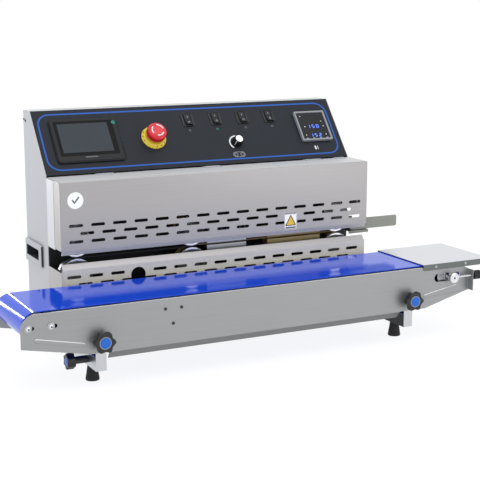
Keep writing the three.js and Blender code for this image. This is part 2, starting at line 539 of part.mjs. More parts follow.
const trayUnder = TRAY.top - TRAY.thickness;
const trayPath = [
  [CONVEYOR.near - GAP, TRAY.top - TRAY.flange], [CONVEYOR.near - GAP, trayUnder],
  [CONVEYOR.far + GAP, trayUnder], [CONVEYOR.far + GAP, TRAY.top - TRAY.flange],
];
add('tray', prismX(bentSheet(trayPath, TRAY.thickness), TRAY.left, TRAY.right), brightSteel());
const BELT_MOTOR = { x: 146.5, z: 117, half: 19, gearBack: -145, radius: 17, back: -85 };
add('conveyor_motor', join(
  box(BELT_MOTOR.x - BELT_MOTOR.half, BELT_MOTOR.x + BELT_MOTOR.half, CONVEYOR.near + SHEET + GAP,
    BELT_MOTOR.gearBack, BELT_MOTOR.z - BELT_MOTOR.half, BELT_MOTOR.z + BELT_MOTOR.half),
  rodY(BELT_MOTOR.radius, BELT_MOTOR.gearBack - 1, BELT_MOTOR.back, BELT_MOTOR.x, BELT_MOTOR.z)),
finish(0x2c2e32, 0.5, 0.5));

// ---- rails --------------------------------------------------------------------------------------
// Two channels that slide under the cabinet. Uprights on them carry the conveyor's side plates, and a
// slot in each front upright lets the conveyor be raised.
function rail(x) {
  const { width, bottom, top, back, upright, wall } = RAIL;
  const [x0, x1] = [x - width / 2, x + width / 2];
  const front = CONVEYOR.near + SHEET + GAP;
  const rear = CONVEYOR.far - SHEET - GAP;
  const frontSlot = prismY(slotOutline(0, 0, LIFT + 11, 2 * KNOB.stud + 1.2), front - 1, front + wall + 1, 5)
    .rotateY(Math.PI / 2).translate(x, 0, KNOB.z + LIFT / 2);
  return cut(join(
    box(x0, x1, front, back, bottom, bottom + 2),
    box(x0, x0 + 2, front, back, bottom, top),
    box(x1 - 2, x1, front, back, bottom, top),
    box(x0, x1, front, front + wall, bottom, upright),
    box(x0, x1, rear - wall, rear, bottom, upright)), frontSlot);
}
const frontFoot = [[0, 0], [12.5, 0], [12.5, 3], [9, 25], [9, RAIL.bottom - GAP], [0, RAIL.bottom - GAP]];
['left', 'right'].forEach((side, i) => {
  const x = RAIL.centres[i];
  add(`rail_${side}`, rail(x), brushedSteel());
  add(`front_foot_${side}`, turned(frontFoot, 20), rubber()).position.set(x, FOOT_Y, 0);
});

// Star knobs: six lobes, a boss and a threaded stud. Local +Z points out of the knob's face.
function starKnob(radius, thickness, boss, stud, studRadius) {
  const outline = new THREE.Shape(Array.from({ length: 48 }, (_, k) => {
    const angle = (k / 48) * 2 * Math.PI;
    const r = radius * (0.925 + 0.075 * Math.cos(6 * angle));
    return new THREE.Vector2(r * Math.cos(angle), r * Math.sin(angle));
  }));
  return join(prismZ(outline, boss, boss + thickness), rodZ(radius * 0.45, 0, boss + 1, 0, 0),
    rodZ(studRadius, -stud, 1, 0, 0, 12));
}
['left', 'right'].forEach((side, i) => {
  const boss = CONVEYOR.near - GAP - KNOB.back;
  const knob = add(`star_knob_front_${side}`,
    starKnob(KNOB.radius, KNOB.back - KNOB.front, boss, 9, KNOB.stud), blackPlastic());
  knob.position.set(RAIL.centres[i], CONVEYOR.near - GAP, KNOB.z);
  knob.rotation.x = Math.PI / 2;
});
const sideKnob = add('star_knob_side', starKnob(15, 15, 26, 0, 3), blackPlastic());
sideKnob.position.set(RAIL.centres[0] - RAIL.width / 2 - GAP, -135, 42);
sideKnob.rotation.y = -Math.PI / 2;

// ---- origin -------------------------------------------------------------------------------------
const bounds = new THREE.Box3().setFromObject(machine);
const middle = bounds.getCenter(new THREE.Vector3());
machine.position.set(-middle.x, -middle.y, -bounds.min.z);
const sealer = new THREE.Group();
sealer.add(machine);

export default sealer;
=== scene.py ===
import json
import math

import bpy
from mathutils import Matrix, Vector

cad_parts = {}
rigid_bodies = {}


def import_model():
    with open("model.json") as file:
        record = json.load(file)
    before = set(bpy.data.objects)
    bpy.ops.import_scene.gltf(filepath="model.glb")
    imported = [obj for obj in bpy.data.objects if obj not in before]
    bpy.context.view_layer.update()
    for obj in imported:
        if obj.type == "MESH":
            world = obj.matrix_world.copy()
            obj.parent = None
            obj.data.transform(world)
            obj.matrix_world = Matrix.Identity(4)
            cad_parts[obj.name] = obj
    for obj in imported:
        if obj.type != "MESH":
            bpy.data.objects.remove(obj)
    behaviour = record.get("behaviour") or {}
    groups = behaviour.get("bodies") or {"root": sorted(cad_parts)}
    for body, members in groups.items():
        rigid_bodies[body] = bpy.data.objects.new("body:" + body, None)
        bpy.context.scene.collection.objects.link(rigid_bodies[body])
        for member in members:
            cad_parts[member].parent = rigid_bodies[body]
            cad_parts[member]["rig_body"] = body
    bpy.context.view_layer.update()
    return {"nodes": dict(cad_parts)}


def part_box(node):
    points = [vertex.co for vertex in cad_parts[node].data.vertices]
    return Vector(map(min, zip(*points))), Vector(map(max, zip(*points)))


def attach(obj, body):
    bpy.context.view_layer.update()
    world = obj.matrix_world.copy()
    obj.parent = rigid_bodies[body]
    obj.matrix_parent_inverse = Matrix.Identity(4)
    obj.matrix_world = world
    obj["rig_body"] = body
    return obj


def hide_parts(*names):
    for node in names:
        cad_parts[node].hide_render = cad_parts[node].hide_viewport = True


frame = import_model()

# ---- camera, floor and light --------------------------------------------------------------------
# The machine stands on a plain pale floor in a white room, seen from the outfeed end, a little above
# its controls. One wide soft light hangs over the front and two weaker ones fill the ends. Three narrow
# strips behind it draw bright lines on the belt where it turns down.
SIGHT = Vector((0.4437, 0.8745, -0.1959))
bpy.ops.object.select_all(action="DESELECT")
bpy.ops.object.camera_add(location=(-1.0442, -2.0892, 0.6649),
                          rotation=SIGHT.to_track_quat("-Z", "Y").to_euler())
camera = bpy.context.object
camera.data.sensor_width = 36
camera.data.lens = 90.3
camera.data.clip_end = 60
bpy.context.scene.camera = camera
bpy.context.scene.view_settings.view_transform = "Standard"

room = bpy.data.worlds.new("white_room")
room.use_nodes = True
room.node_tree.nodes["Background"].inputs["Color"].default_value = (1, 1, 1, 1)
room.node_tree.nodes["Background"].inputs["Strength"].default_value = 1.0
bpy.context.scene.world = room


def soft_light(name, place, target, size, power):
    aim = (Vector(target) - Vector(place)).to_track_quat("-Z", "Y").to_euler()
    bpy.ops.object.light_add(type="AREA", location=place, rotation=aim)
    light = bpy.context.object
    light.name = name
    light.data.shape = "RECTANGLE"
    light.data.size, light.data.size_y = size
    light.data.energy = power


soft_light("overhead", (0.1, -0.9, 2.3), (0.05, 0, 0.2), (2.6, 1.4), 14)
soft_light("left_end", (-2.3, -0.5, 0.9), (-0.3, 0, 0.25), (1.2, 1.4), 0.8)
soft_light("front_right", (1.3, -1.9, 0.5), (0.25, 0, 0.1), (0.9, 0.8), 3)
STRIP_LENGTH, STRIP_WATTS = 0.5, 34                     # watts to each metre of a strip's width
for name, x, z, width in (("strip_high", -0.21, 0.62, 0.07), ("strip_middle", -0.95, 0.45, 0.045),
                          ("strip_low", -1.4, 0.12, 0.05)):
    soft_light(name, (x, 1.3, z), (-0.46, -0.1, 0.14), (width, STRIP_LENGTH), width * STRIP_WATTS)

bpy.ops.mesh.primitive_plane_add(size=14, location=(0, 0, -0.0005))
floor = bpy.context.object
floor.name = "floor"
floor_paint = bpy.data.materials.new("pale_floor")
floor_paint.use_nodes = True
for socket, value in (("Base Color", (0.14, 0.14, 0.14, 1)), ("Roughness", 0.9), ("Specular IOR Level", 0.1),
                      ("Emission Color", (1, 1, 1, 1)), ("Emission Strength", 0.88)):
    floor_paint.node_tree.nodes["Principled BSDF"].inputs[socket].default_value = value
floor.data.materials.append(floor_paint)

# ---- cabinet ------------------------------------------------------------------------------------
# A box folded from thin stainless sheet: two bright side panels, a back that wraps over the top, a
# floor and a black wall that carries the mechanism. Its edges are broken by hand and it is screwed
# together with small pan-head screws.
MM = 0.001


def hex_color(code):
    """Red, green and blue in linear light from a two-digits-each hex code."""
    parts = [int(code[i:i + 2], 16) / 255 for i in (0, 2, 4)]
    return [c / 12.92 if c <= 0.04045 else ((c + 0.055) / 1.055) ** 2.4 for c in parts]


class Term:
    """A node's output. Each operator on it adds the Math node that works the sum out."""

    def __init__(self, finish, socket):
        self.finish, self.socket = finish, socket

    def math(self, operation, first, second):
        return self.finish.node("ShaderNodeMath", {"operation": operation}, {0: first, 1: second})

    def __add__(self, other):
        return self.math("ADD", self, other)

    def __mul__(self, other):
        return self.math("MULTIPLY", self, other)

    __radd__, __rmul__ = __add__, __mul__


class Finish:
    """A material whose patterns lie on Object coordinates, in metres."""

    def __init__(self, name, color, roughness=0.5, metallic=0.0, **fixed):
        self.material = bpy.data.materials.new(name)
        self.material.use_nodes = True
        self.tree = self.material.node_tree
        self.shader = self.tree.nodes["Principled BSDF"]
        self.color = hex_color(color)
        self.set("Base Color", (*self.color, 1))
        self.set("Roughness", roughness)
        self.set("Metallic", metallic)
        for socket, value in fixed.items():
            self.set(socket.replace("_", " "), value)
        self.place = self.node("ShaderNodeTexCoord", out="Object")

    def node(self, kind, settings=None, sockets=None, out=0):
        node = self.tree.nodes.new(kind)
        for key, value in (settings or {}).items():
            setattr(node, key, value)
        for key, value in (sockets or {}).items():
            if isinstance(value, Term):
                self.tree.links.new(value.socket, node.inputs[key])
            else:
                node.inputs[key].default_value = value
        return Term(self, node.outputs[out])

    def set(self, socket, value):
        if isinstance(value, Term):
            self.tree.links.new(value.socket, self.shader.inputs[socket])
        else:
            self.shader.inputs[socket].default_value = value

    def noise(self, waves, detail=3.0):
        """Noise with so many waves to the metre, alike on all axes or given for x, y and z."""
        stretch = (waves,) * 3 if isinstance(waves, int) else waves
        mapped = self.node("ShaderNodeMapping", None, {"Vector": self.place, "Scale": stretch})
        return self.node("ShaderNodeTexNoise", None, {"Vector": mapped, "Scale": 1.0, "Detail": detail})

    def shade(self, value, dark, light):
        """Base colour from dark times the finish's colour, where value is 0, to light times, at 1."""
        tones = [(*(min(1, c * k) for c in self.color), 1) for k in (dark, light)]
        self.set("Base Color", self.node("ShaderNodeMix", {"data_type": "RGBA"},
                                         {0: value, 6: tones[0], 7: tones[1]}, out=2))

    def bump(self, height, depth, strength):
        self.set("Normal", self.node("ShaderNodeBump", None, {
            "Height": height, "Distance": depth * MM, "Strength": strength}))

    def mottle(self, waves, dark, light, detail=3.0):
        """Colour that drifts between dark times and light times the finish's own."""
        self.shade(self.noise(waves, detail), dark, light)

    def scuff(self, waves, low, spread, detail=3.0):
        """Roughness that wanders from low up to low plus spread."""
        self.set("Roughness", low + self.noise(waves, detail) * spread)

    def grain(self, waves, depth, strength, detail=3.0):
        """Fine relief, with its depth in millimetres."""
        self.bump(self.noise(waves, detail), depth, strength)


def brushed(name, color, roughness, along=0, contrast=0.14, waves=420, metallic=1.0):
    """Sheet metal with fine scratches along one axis and a faint cloudiness from the rolling."""
    finish = Finish(name, color, roughness, metallic)
    stretch = [waves] * 3
    stretch[along] = waves / 45
    scratches = finish.noise(stretch, 5.0)
    clouds = finish.noise(7, 2.0)
    finish.shade(scratches * 0.75 + clouds * 0.25, 1 - contrast, 1 + contrast)
    finish.set("Roughness", roughness - 0.1 + scratches * 0.14 + clouds * 0.06)
    finish.bump(scratches, 0.03, 0.35)
    return finish


def alone(piece):
    bpy.ops.object.select_all(action="DESELECT")
    piece.select_set(True)
    bpy.context.view_layer.objects.active = piece


def apply(piece, kind, **settings):
    """Adds a modifier with these settings and applies it."""
    alone(piece)
    modifier = piece.modifiers.new(kind.lower(), kind)
    for key, value in settings.items():
        setattr(modifier, key, value)
    bpy.ops.object.modifier_apply(modifier=modifier.name)
    return piece


def smooth(piece, degrees):
    """Shades the piece round, save at edges sharper than this."""
    alone(piece)
    bpy.ops.object.shade_smooth_by_angle(angle=math.radians(degrees))


def ease(piece, width, segments=2, clamp=True):
    """Rounds the sharp edges by a width in millimetres, and shades flats flat and rounds round."""
    apply(piece, "BEVEL", width=width * MM, segments=segments, limit_method="ANGLE",
          angle_limit=math.radians(28), use_clamp_overlap=clamp)
    smooth(piece, 42)
    return apply(piece, "WEIGHTED_NORMAL", keep_sharp=True)


def eased_copy(node, width, segments=2):
    """A merged copy of a CAD node, with its edges eased."""
    piece = bpy.data.objects.new(node + "_shell", frame["nodes"][node].data.copy())
    piece.data.materials.clear()
    bpy.context.scene.collection.objects.link(piece)
    alone(piece)
    bpy.ops.object.mode_set(mode="EDIT")
    bpy.ops.mesh.select_all(action="SELECT")
    bpy.ops.mesh.remove_doubles(threshold=2e-6)
    bpy.ops.mesh.dissolve_limited(angle_limit=math.radians(1))
    bpy.ops.object.mode_set(mode="OBJECT")
    return ease(piece, width, segments, clamp=False)


def fit(piece, finish, body, place=None, stands_for=(), also=()):
    """Puts a piece in place, gives it its finishes, and fixes it to a body."""
    if place is not None:
        piece.data.transform(place)
    for each in (finish, *also):
        piece.data.materials.append(each.material)
    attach(piece, body)
    if stands_for:
        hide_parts(*stands_for)
    return piece


def shell(node, finish, width, segments=2, also=()):
    """The CAD node with eased edges, in its own finish and on its own body."""
    return fit(eased_copy(node, width, segments), finish, frame["nodes"][node]["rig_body"],
               stands_for=[node], also=also)


side_steel = brushed("side_steel", "b3b5ba", 0.62, along=2, contrast=0.06, metallic=0.2)
back_steel = brushed("back_steel", "c9cacc", 0.34, along=0)
floor_steel = brushed("floor_steel", "a8a9ab", 0.42, along=0)
wall_paint = Finish("wall_paint", "121315", 0.5)
wall_paint.scuff(260, 0.42, 0.2)
wall_paint.grain(900, 0.05, 0.4, 2.0)

shell("side_panel_left", side_steel, 0.4)
shell("side_panel_right", side_steel, 0.4)
shell("back_panel", back_steel, 0.3)
shell("base_plate", floor_steel, 0.3)
shell("mounting_wall", wall_paint, 0.3)

# Pan-head screws with a cross in the head: four hold each side panel, eight the back.
zinc = Finish("zinc_screw", "b9bcc2", 0.3, 1.0)
zinc.mottle(700, 0.75, 1.1, 2.0)
zinc.scuff(400, 0.24, 0.2)
dark_zinc = Finish("dark_screw", "4b4e55", 0.35, 1.0)
dark_zinc.mottle(700, 0.7, 1.25, 2.0)

CABINET_WIDTH = 665
BENCH = Matrix.Translation((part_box("side_panel_left")[0].x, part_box("upper_guard")[0].y, 0))


def turn(degrees, axis="Z"):
    return Matrix.Rotation(math.radians(degrees), 4, axis)


# Each of these turns a piece that faces +Z to face another way.
FACING = {"front": turn(90, "X"), "back": turn(-90, "X"), "left": turn(-90, "Y"), "right": turn(90, "Y")}


def turned(name, profile, steps=48, solid=True):
    """A piece turned about +Z, drawn ring by ring through (radius, height) points in millimetres."""
    bpy.ops.object.select_all(action="DESELECT")
    bpy.ops.mesh.primitive_circle_add(vertices=steps, radius=profile[0][0] * MM,
                                      fill_type="NGON" if solid else "NOTHING",
                                      location=(0, 0, profile[0][1] * MM))
    piece = bpy.context.object
    piece.name = name
    bpy.ops.object.transform_apply(location=True)
    bpy.ops.object.mode_set(mode="EDIT")
    bpy.ops.mesh.select_all(action="SELECT")
    extrude = bpy.ops.mesh.extrude_region_move if solid else bpy.ops.mesh.extrude_edges_move
    for (r0, z0), (r1, z1) in zip(profile, profile[1:]):
        extrude(TRANSFORM_OT_translate={"value": (0, 0, (z1 - z0) * MM)})
        bpy.ops.transform.resize(value=(r1 / r0, r1 / r0, 1), center_override=(0, 0, z1 * MM))
    bpy.ops.mesh.select_all(action="SELECT")
    bpy.ops.mesh.remove_doubles(threshold=1e-6)
    bpy.ops.mesh.normals_make_consistent(inside=False)
    bpy.ops.object.mode_set(mode="OBJECT")
    smooth(piece, 35)
    return piece


def block(name, low, high):
    """A box between two corners, in millimetres, to be shaped."""
    low, high = Vector(low) * MM, Vector(high) * MM
    bpy.ops.object.select_all(action="DESELECT")
    bpy.ops.mesh.primitive_cube_add(size=1, location=(low + high) / 2)
    piece = bpy.context.object
    piece.name = name
    piece.scale = high - low
    bpy.ops.object.transform_apply(location=True, rotation=False, scale=True)
    return piece


def remove(piece):
    alone(piece)
    bpy.ops.object.delete()


def cut_away(piece, cutter):
    """Cuts the cutter's shape out of the piece, and uses the cutter up."""
    apply(piece, "BOOLEAN", object=cutter, operation="DIFFERENCE", solver="EXACT")
    remove(cutter)


def copies(pattern, places, name):
    """The pattern at each of these places, joined as one piece. The pattern is used up."""
    made = []
    for place in places:
        copy = bpy.data.objects.new(name, pattern.data.copy())
        copy.data.transform(place)
        bpy.context.scene.collection.objects.link(copy)
        made.append(copy)
    remove(pattern)
    for copy in made:
        copy.select_set(True)
    bpy.context.view_layer.objects.active = made[0]
    bpy.ops.object.join()
    made[0].name = name
    return made[0]


def spot(x, y, z, facing=None):
    """A place in millimetres from the cabinet's left side, the guards' face and the floor."""
    place = Matrix.Translation(Vector((x, y, z)) * MM)
    return place @ FACING[facing] if facing else place


def screw_head(radius, height):
    """A domed head whose cross recess is cut with two crossed blades."""
    head = turned("screw", [(radius, 0), (radius, height * 0.35), (radius * 0.86, height * 0.8),
                            (radius * 0.55, height)], 24)
    for angle in (0, 90):
        blade = block("blade", (-radius * 0.52, -radius * 0.1, height * 0.45),
                      (radius * 0.52, radius * 0.1, height + 1))
        blade.data.transform(turn(angle))
        cut_away(head, blade)
    smooth(head, 35)
    return head


side_spots = [(205.5, 436), (195.5, 434), (205.5, 70), (100, 66)]
for side, x in (("left", -0.3), ("right", CABINET_WIDTH + 0.3)):
    fit(copies(screw_head(2.6, 1.1), [spot(x, y, z, side) for y, z in side_spots], "screws_side_" + side),
        dark_zinc, "cabinet", BENCH)
back_spots = [spot(x, 210, z, "back") for x in (12, 230, 435, 653) for z in (70, 440)]
fit(copies(screw_head(3.2, 1.6), back_spots, "screws_back"), zinc, "cabinet", BENCH)

# ---- pocket handles -----------------------------------------------------------------------------
# One moulded silver-grey handle is let into each side: a shallow frame with rounded edges, and a pocket
# for the fingers behind it, whose inner faces are painted dark as the shade in the recess.
handle_silver = Finish("handle_silver", "a9abb1", 0.5, 0.2)
handle_silver.mottle(500, 0.93, 1.05, 2.0)
handle_silver.grain(1500, 0.02, 0.3, 2.0)
# painted shade for the inside of the finger pocket
pocket_painted_shade = Finish("pocket_painted_shade", "2a2d36", 0.6)
pocket_painted_shade.grain(900, 0.04, 0.5)
RIM, POCKET_HALF = 5.5, 10.1                  # the rim's thickness, and half the pocket's height


def mark_faces(piece, pick):
    """Gives each face the finish whose number pick returns: 0 or False is the first."""
    for face in piece.data.polygons:
        face.material_index = int(pick(face))


for side, inward in (("left", 1), ("right", -1)):
    handle = shell("handle_" + side, handle_silver, 0.9, 3, also=[pocket_painted_shade])
    low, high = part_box("handle_" + side)
    rim = (low.x if side == "left" else high.x) + inward * RIM * MM
    middle = (low.z + high.z) / 2
    mark_faces(handle, lambda face: (face.center.x - rim) * inward > 0
               or abs(face.center.z - middle) < POCKET_HALF * MM and abs(face.normal.x) < 0.5)

# ---- power inlet --------------------------------------------------------------------------------
# A moulded mains inlet of gloss black plastic in the back panel, held by two screws. Three flat pins
# stand in its socket.
gloss_black = Finish("gloss_black", "0e1115", 0.3, Specular_IOR_Level=0.35)
gloss_black.scuff(350, 0.2, 0.16)
gloss_black.grain(1200, 0.015, 0.3, 2.0)
shell("power_inlet", gloss_black, 0.6)
INLET_X, INLET_Z = 590, 96
pin = ease(block("pin", (-2, -0.9, 0), (2, 0.9, 10)), 0.4)
pin_spots = [spot(INLET_X + x, 200, INLET_Z + z, "back") for x, z in ((-7, -3), (0, 3), (7, -3))]
fit(copies(pin, pin_spots, "inlet_pins"), zinc, "cabinet", BENCH)
inlet_spots = [spot(INLET_X + x, 211.7, INLET_Z, "back") for x in (-20, 20)]
fit(copies(screw_head(2.4, 1.2), inlet_spots, "inlet_screws"), zinc, "cabinet", BENCH)

# ---- guards -------------------------------------------------------------------------------------
# Two folded covers of brushed stainless close off the bands. The upper one lifts on a rod behind its
# top edge. Both have rows of punched slots, and the metal is brushed along its length.
guard_steel = brushed("guard_steel", "aaa8a8", 0.42, along=0, contrast=0.1, metallic=0.72)
lower_steel = brushed("lower_guard_steel", "d3d0c6", 0.5, along=0, contrast=0.1, metallic=0.3)
# a lighter steel for the guard's top, a painted highlight where the light falls on it
guard_top_highlight = brushed("guard_top_painted_highlight", "c6c8ca", 0.5, along=0, contrast=0.08, metallic=0.25)
cheek_steel = brushed("cheek_steel", "c3c5ca", 0.42, along=2, contrast=0.06, metallic=0.7)
FOLD, SHEET = 2.2, 1.5                        # the folds' radius and the sheet's thickness
SLOT_LENGTH, SLOT_HEIGHT, SLOT_PITCH = 27.5, 6, 43.2


def choose(piece, mode, pick):
    """Edit mode with only the faces or edges chosen that pick says yes to."""
    alone(piece)
    bpy.ops.object.mode_set(mode="EDIT")
    bpy.ops.mesh.select_mode(type=mode)
    bpy.ops.mesh.select_all(action="DESELECT")
    bpy.ops.object.mode_set(mode="OBJECT")
    for item in (piece.data.polygons if mode == "FACE" else piece.data.edges):
        item.select = pick(item)
    bpy.ops.object.mode_set(mode="EDIT")


def plate(name, corners, thickness, radius=0.0, hole=0.0):
    """A flat plate on XY through these corners, rounded, and with its middle cut out to a line."""
    bpy.ops.object.select_all(action="DESELECT")
    bpy.ops.mesh.primitive_circle_add(vertices=len(corners), radius=MM, fill_type="NGON")
    piece = bpy.context.object
    piece.name = name
    for vertex, (x, y) in zip(piece.data.vertices, corners):
        vertex.co = (x * MM, y * MM, 0)
    bpy.ops.object.mode_set(mode="EDIT")
    bpy.ops.mesh.select_all(action="SELECT")
    bpy.ops.mesh.normals_make_consistent(inside=False)
    if radius:
        bpy.ops.mesh.bevel(offset=radius * MM, segments=6, affect="VERTICES", clamp_overlap=False)
    if hole:
        bpy.ops.mesh.select_all(action="SELECT")
        bpy.ops.mesh.inset(thickness=hole * MM)
        bpy.ops.mesh.delete(type="FACE")
    bpy.ops.object.mode_set(mode="OBJECT")
    if piece.data.polygons[0].normal.z < 0:
        piece.data.flip_normals()
    return apply(piece, "SOLIDIFY", thickness=thickness * MM, offset=1)


def rectangle(x0, x1, y0, y1):
    return [(x1, y0), (x1, y1), (x0, y1), (x0, y0)]


def drop_faces(piece, pick):
    choose(piece, "FACE", pick)
    bpy.ops.mesh.delete(type="FACE")
    bpy.ops.object.mode_set(mode="OBJECT")


def trim(piece, pick, axis, level, side):
    """Cuts the picked faces across at a level in millimetres on axis 1, y, or 2, z, and drops what
    lies above the level when side is 1, or below it when side is -1."""
    normal = Vector((0, 0, 0))
    normal[axis] = 1
    choose(piece, "FACE", pick)
    bpy.ops.mesh.bisect(plane_co=normal * (level * MM), plane_no=normal)
    bpy.ops.object.mode_set(mode="OBJECT")
    drop_faces(piece, lambda face: pick(face) and (face.center[axis] - level * MM) * side > 0)


def slots(rows):
    """Cutters for rows of punched slots: each row is (first x, count, z, one left out)."""
    outline = rectangle(-SLOT_LENGTH / 2, SLOT_LENGTH / 2, -SLOT_HEIGHT / 2, SLOT_HEIGHT / 2)
    cutter = plate("slot_cutter", outline, 6, SLOT_HEIGHT / 2 - 0.01)
    places = [spot(first + k * SLOT_PITCH, 3, z, "front") for first, count, z, left_out in rows
              for k in range(count) if k != left_out]
    return copies(cutter, places, "slot_cutters")


def folded_cover(name, size, bottom, top, gap, lip):
    """A cover folded from sheet, open behind and at the gap, which is its bottom or its top. Its
    folds are rounded, and its front leans back at the gap in a lip that is (y, z) long."""
    cover = block(name, (0, 0, bottom), (*size, top))
    outward = -1 if gap == bottom else 1
    drop_faces(cover, lambda face: face.normal.y > 0.9 or face.normal.z * outward > 0.9)
    choose(cover, "EDGE", lambda edge: sum(
        set(edge.vertices) <= set(face.vertices) for face in cover.data.polygons) == 2)
    bpy.ops.mesh.bevel(offset=FOLD * MM, segments=5, affect="EDGES", clamp_overlap=False)
    bpy.ops.object.mode_set(mode="OBJECT")
    points = cover.data.vertices
    choose(cover, "EDGE", lambda edge: all(
        abs(points[i].co.z - gap * MM) < 1e-6 and points[i].co.y < 1e-6 for i in edge.vertices))
    bpy.ops.mesh.extrude_edges_move(TRANSFORM_OT_translate={"value": (0, lip[0] * MM, lip[1] * MM)})
    bpy.ops.object.mode_set(mode="OBJECT")
    return cover


def punch(cover, cutters):
    """Gives the folded sheet its thickness, inwards, and cuts each cutter out of it."""
    apply(cover, "SOLIDIFY", thickness=SHEET * MM, offset=-1, use_even_offset=True)
    for cutter in cutters:
        cut_away(cover, cutter)
    smooth(cover, 24)


upper = folded_cover("upper_cover", (CABINET_WIDTH, 72), 209, 338, 209, (6, -9))
trim(upper, lambda face: abs(face.normal.x) > 0.9, 1, 35, 1)         # the frame closes off the rest
trim(upper, lambda face: face.normal.x > 0.9, 2, 236, -1)            # the inlet guide passes here
punch(upper, [slots([(29.9, 15, 255.1, None), (51.5, 14, 240.1, None), (29.9, 15, 225, None)])])
# The faces that look up take the painted highlight, and the lip at the bottom the lower guard's less
# metallic steel.
mark_faces(upper, lambda face: 1 if face.normal.z > 0.9 else 2 if face.center.z < 209.5 * MM else 0)
fit(upper, guard_steel, "upper_guard", BENCH, ["upper_guard"], also=[guard_top_highlight, lower_steel])

lower = folded_cover("lower_cover", (661, 77.7), 96, 173, 173, (8, 9.6))
trim(lower, lambda face: abs(face.normal.x) > 0.9, 2, 168, 1)
port = turned("port_cutter", [(15, -5), (15, 5)])
port.data.transform(spot(152, 0, 151, "front"))
punch(lower, [slots([(24.1, 15, 158.6, 3), (45.7, 14, 143.6, None)]), port])
# The top lip and the left end take the darker guard steel and the front the lighter one: painted light and
# shade by which way each face looks.
mark_faces(lower, lambda face: face.normal.z > 0.3 or face.normal.x < -0.5)
fit(lower, lower_steel, "cabinet", BENCH, ["lower_guard"], also=[guard_steel])
shell("guard_frame", cheek_steel, 0.3)
shell("guard_hinge", side_steel, 0.2)

# Four hinge leaves are spot-welded to the guard's top behind the fold.
for number, (left, right) in enumerate(((96, 132), (324, 359), (553, 592), (625, 649)), 1):
    leaf = ease(block("hinge_leaf_%d" % number, (left, 58, 338.05), (right, 72.5, 339.3)), 0.5)
    fit(leaf, side_steel, "upper_guard", BENCH)

# ---- guard labels -------------------------------------------------------------------------------
# Two printed film labels on the upper guard: a round white one with a plain tick, and a pale card
# with an empty yellow triangle. They carry no lettering.
white_film = Finish("white_film", "fbfbfb", 0.35)
white_film.scuff(200, 0.3, 0.15)
yellow_film = Finish("yellow_film", "e8c33a", 0.4)
yellow_film.mottle(120, 0.92, 1.05)
grey_ink = Finish("grey_ink", "5a5d62", 0.5)
grey_ink.mottle(900, 0.85, 1.15)


def round_plate(name, radius, thickness, hole=0.0, steps=48):
    corners = [(radius * math.cos(2 * math.pi * k / steps), radius * math.sin(2 * math.pi * k / steps))
               for k in range(steps)]
    return plate(name, corners, thickness, hole=hole)


round_place = BENCH @ spot(29.9, 0, 302.7, "front")
fit(round_plate("round_label", 15.5, 0.15), white_film, "upper_guard", round_place)
tick = plate("round_label_tick", [(-7.4, 0.6), (-2.2, -6.6), (8, 5.2), (5.9, 7.2), (-2.1, -2.2),
                                  (-5.2, 2.4)], 0.1)
fit(tick, grey_ink, "upper_guard", round_place @ spot(0, 0, 0.15))
card_place = BENCH @ spot(483.4, 0, 226, "front")
fit(plate("card_label", rectangle(-14.6, 14.6, -16.2, 16.2), 0.12, 1.5), white_film, "upper_guard",
    card_place)
for name, corners, radius, line, film in (
        ("card_outline", rectangle(-14.2, 14.2, -15.8, 15.8), 1.2, 0.7, grey_ink),
        ("card_fill", [(11, -7.5), (0, 12.5), (-11, -7.5)], 1.2, 0, yellow_film),
        ("card_foot", rectangle(-12, 12, -14, -10.5), 0.8, 0, grey_ink)):
    fit(plate(name, corners, 0.08, radius, line), film, "upper_guard",
        card_place @ spot(0, 0, 0.12))
fit(plate("card_triangle", [(12.6, -8.4), (0, 14.4), (-12.6, -8.4)], 0.1, 1.4, 1.7), gloss_black,
    "upper_guard", card_place @ spot(0, 0, 0.16))

# ---- control panel ------------------------------------------------------------------------------
# A sheet folded into the sloping front of the cabinet, powder coated in dark slate and screen printed
# with a blue line, white dial marks and small signs.
PANEL_RISE, PANEL_RUN = 114.3, 92
PANEL = BENCH @ spot(0, 78, 339.5) @ turn(math.degrees(math.atan2(PANEL_RISE, PANEL_RUN)), "X")
slate = Finish("slate_coat", "20242c", 0.5, Specular_IOR_Level=0.2)
slate.mottle(60, 0.9, 1.08, 4.0)
slate.scuff(420, 0.44, 0.14)
slate.grain(1300, 0.04, 0.35, 2.0)
blue_ink = Finish("blue_ink", "2a5cb0", 0.5, Specular_IOR_Level=0.2)
blue_ink.mottle(500, 0.93, 1.06)
white_ink = Finish("white_ink", "e4e6ea", 0.45)
white_ink.mottle(700, 0.9, 1.05)
green_ink = Finish("green_ink", "177c6c", 0.45, Specular_IOR_Level=0.2)
green_ink.mottle(500, 0.9, 1.1)

shell("control_panel", slate, 0.3)
fit(plate("blue_outline", rectangle(8.9, 652.7, 9.1, 138.1), 0.12, 26, 3.3), blue_ink, "cabinet",
    PANEL)

# ---- touch screen -------------------------------------------------------------------------------
# A black moulded terminal: its bezel slopes off at the rim, and the glass sits in a shallow recess
# with a black surround. A short bar is printed below the glass and a green dot beside it.
screen_black = Finish("terminal_black", "0d1116", 0.42, Specular_IOR_Level=0.3)
screen_black.scuff(300, 0.36, 0.14)
screen_black.grain(1400, 0.02, 0.4, 2.0)
screen_glass = Finish("screen_glass", "2a323b", 0.25, Specular_IOR_Level=0.22)
screen_glass.mottle(18, 0.9, 1.1, 1.0)


def round_uprights(piece, radius, segments=6):
    """Rounds the edges that run along Z."""
    points = piece.data.vertices

    def upright(edge):
        a, b = (points[i].co for i in edge.vertices)
        return (a - b).xy.length < 1e-6
    choose(piece, "EDGE", upright)
    bpy.ops.mesh.bevel(offset=radius * MM, segments=segments, affect="EDGES", clamp_overlap=False)
    bpy.ops.object.mode_set(mode="OBJECT")
    return piece


